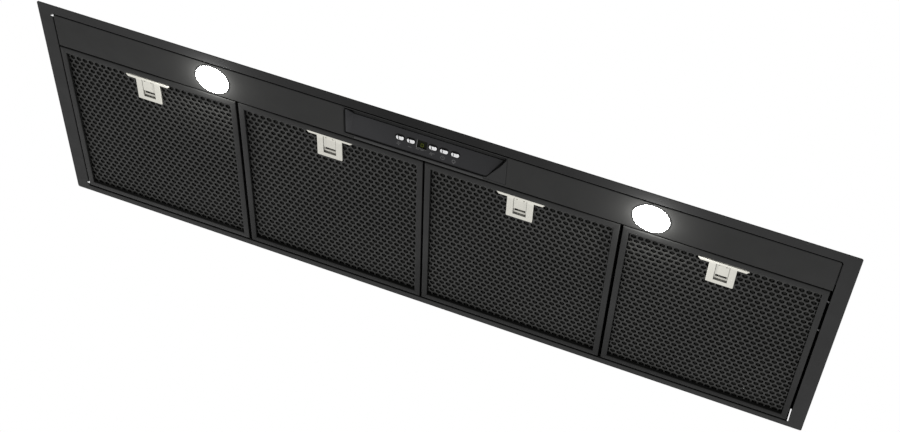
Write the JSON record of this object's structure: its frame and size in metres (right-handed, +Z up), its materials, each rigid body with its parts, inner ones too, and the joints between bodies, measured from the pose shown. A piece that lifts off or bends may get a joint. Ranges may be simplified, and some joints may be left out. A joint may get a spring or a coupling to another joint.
{
  "type": "range hood insert",
  "caption": "Flush range hood insert with latched mesh filters, lamps, push buttons, a blower and a rectangular outlet with a damper",
  "frame": {"origin": "centre of the flange's upper face, which seats against the underside of the cabinet", "axes": "+X to the user's right along the length, +Y to the rear wall, +Z up"},
  "size_m": [0.86, 0.29, 0.1571],
  "materials": {
    "black_paint": "satin powder coat",
    "filter_paint": "satin powder coat",
    "mesh_paint": "satin powder coat",
    "galvanised": "galvanised sheet",
    "steel": "plain",
    "aluminium": "mill finish",
    "black_nylon": "matt moulded",
    "motor_grey": "satin",
    "white_plastic": "moulded",
    "circuit_board": "solder mask",
    "bezel_plastic": "fine grain",
    "face_plastic": "satin",
    "smoked_window": "smoked, glossy",
    "button_chrome": "polished",
    "lamp_trim": "white",
    "lamp_lens": "frosted, lit",
    "ivory_plastic": "moulded"
  },
  "bodies": {
    "housing": {"flange_frame": "black_paint", "casing": "black_paint", "blower_box": "black_paint", "duct_collar": "galvanised", "flap_pin": "steel", "scroll_left": "galvanised", "scroll_right": "galvanised", "motor": "motor_grey", "motor_cradle": "galvanised", "capacitor": "white_plastic", "junction_box": "black_nylon", "junction_lid": "black_nylon", "power_board": "circuit_board", "cable_gland": "black_nylon", "side_bracket_left": "galvanised", "side_bracket_right": "galvanised", "fixing_screws": "steel", "front_panel": "black_paint", "rear_ledge": "black_paint", "control_bezel": "bezel_plastic", "control_face": "face_plastic", "display_window": "smoked_window", "control_board": "circuit_board", "lamp_trim_left": "lamp_trim", "lamp_lens_left": "lamp_lens", "lamp_body_left": "white_plastic", "lamp_trim_right": "lamp_trim", "lamp_lens_right": "lamp_lens", "lamp_body_right": "white_plastic"},
    "rotor": {"motor_shaft": "steel", "impeller_left": "black_nylon", "impeller_right": "black_nylon"},
    "damper_front": {"flap_front": "aluminium"},
    "damper_rear": {"flap_rear": "aluminium"},
    "button_1": {"button_1": "button_chrome"},
    "button_2": {"button_2": "button_chrome"},
    "button_3": {"button_3": "button_chrome"},
    "button_4": {"button_4": "button_chrome"},
    "button_5": {"button_5": "button_chrome"},
    "filter_1": {"filter_1_frame": "filter_paint", "filter_1_mesh": "mesh_paint", "filter_1_latch_body": "ivory_plastic"},
    "latch_1": {"filter_1_latch_slider": "ivory_plastic", "filter_1_latch_spring": "ivory_plastic"},
    "filter_2": {"filter_2_frame": "filter_paint", "filter_2_mesh": "mesh_paint", "filter_2_latch_body": "ivory_plastic"},
    "latch_2": {"filter_2_latch_slider": "ivory_plastic", "filter_2_latch_spring": "ivory_plastic"},
    "filter_3": {"filter_3_frame": "filter_paint", "filter_3_mesh": "mesh_paint", "filter_3_latch_body": "ivory_plastic"},
    "latch_3": {"filter_3_latch_slider": "ivory_plastic", "filter_3_latch_spring": "ivory_plastic"},
    "filter_4": {"filter_4_frame": "filter_paint", "filter_4_mesh": "mesh_paint", "filter_4_latch_body": "ivory_plastic"},
    "latch_4": {"filter_4_latch_slider": "ivory_plastic", "filter_4_latch_spring": "ivory_plastic"}
  },
  "joints": [
    {"name": "rotor_spin", "type": "hinge", "parent": "housing", "child": "rotor", "pos_m": [0, 0.072, 0.068], "axis": [1, 0, 0], "continuous": true},
    {"name": "damper_front_swing", "type": "hinge", "parent": "housing", "child": "damper_front", "pos_m": [0, 0.087, 0.1386], "axis": [-1, 0, 0], "range_deg": [0, 80]},
    {"name": "damper_rear_swing", "type": "hinge", "parent": "housing", "child": "damper_rear", "pos_m": [0, 0.095, 0.1386], "axis": [1, 0, 0], "range_deg": [0, 80]},
    {"name": "button_1_press", "type": "slide", "parent": "housing", "child": "button_1", "axis": [0, 0.309, 0.9511], "range_m": [0, 0.0012], "stiffness_N_per_m": 900, "springref_m": -0.0006},
    {"name": "button_2_press", "type": "slide", "parent": "housing", "child": "button_2", "axis": [0, 0.309, 0.9511], "range_m": [0, 0.0012], "stiffness_N_per_m": 900, "springref_m": -0.0006},
    {"name": "button_3_press", "type": "slide", "parent": "housing", "child": "button_3", "axis": [0, 0.309, 0.9511], "range_m": [0, 0.0012], "stiffness_N_per_m": 900, "springref_m": -0.0006},
    {"name": "button_4_press", "type": "slide", "parent": "housing", "child": "button_4", "axis": [0, 0.309, 0.9511], "range_m": [0, 0.0012], "stiffness_N_per_m": 900, "springref_m": -0.0006},
    {"name": "button_5_press", "type": "slide", "parent": "housing", "child": "button_5", "axis": [0, 0.309, 0.9511], "range_m": [0, 0.0012], "stiffness_N_per_m": 900, "springref_m": -0.0006},
    {"name": "filter_1_drop", "type": "hinge", "parent": "housing", "child": "filter_1", "pos_m": [-0.3112, 0.1346, -0.001], "axis": [1, 0, 0], "range_deg": [0, 80]},
    {"name": "latch_1_slide", "type": "slide", "parent": "filter_1", "child": "latch_1", "axis": [0, 1, 0], "range_m": [0, 0.005], "stiffness_N_per_m": 400, "springref_m": -0.003, "deforming": ["filter_1_latch_spring"]},
    {"name": "filter_2_drop", "type": "hinge", "parent": "housing", "child": "filter_2", "pos_m": [-0.104, 0.1346, -0.001], "axis": [1, 0, 0], "range_deg": [0, 80]},
    {"name": "latch_2_slide", "type": "slide", "parent": "filter_2", "child": "latch_2", "axis": [0, 1, 0], "range_m": [0, 0.005], "stiffness_N_per_m": 400, "springref_m": -0.003, "deforming": ["filter_2_latch_spring"]},
    {"name": "filter_3_drop", "type": "hinge", "parent": "housing", "child": "filter_3", "pos_m": [0.1022, 0.1346, -0.001], "axis": [1, 0, 0], "range_deg": [0, 80]},
    {"name": "latch_3_slide", "type": "slide", "parent": "filter_3", "child": "latch_3", "axis": [0, 1, 0], "range_m": [0, 0.005], "stiffness_N_per_m": 400, "springref_m": -0.003, "deforming": ["filter_3_latch_spring"]},
    {"name": "filter_4_drop", "type": "hinge", "parent": "housing", "child": "filter_4", "pos_m": [0.3095, 0.1346, -0.001], "axis": [1, 0, 0], "range_deg": [0, 80]},
    {"name": "latch_4_slide", "type": "slide", "parent": "filter_4", "child": "latch_4", "axis": [0, 1, 0], "range_m": [0, 0.005], "stiffness_N_per_m": 400, "springref_m": -0.003, "deforming": ["filter_4_latch_spring"]}
  ]
}
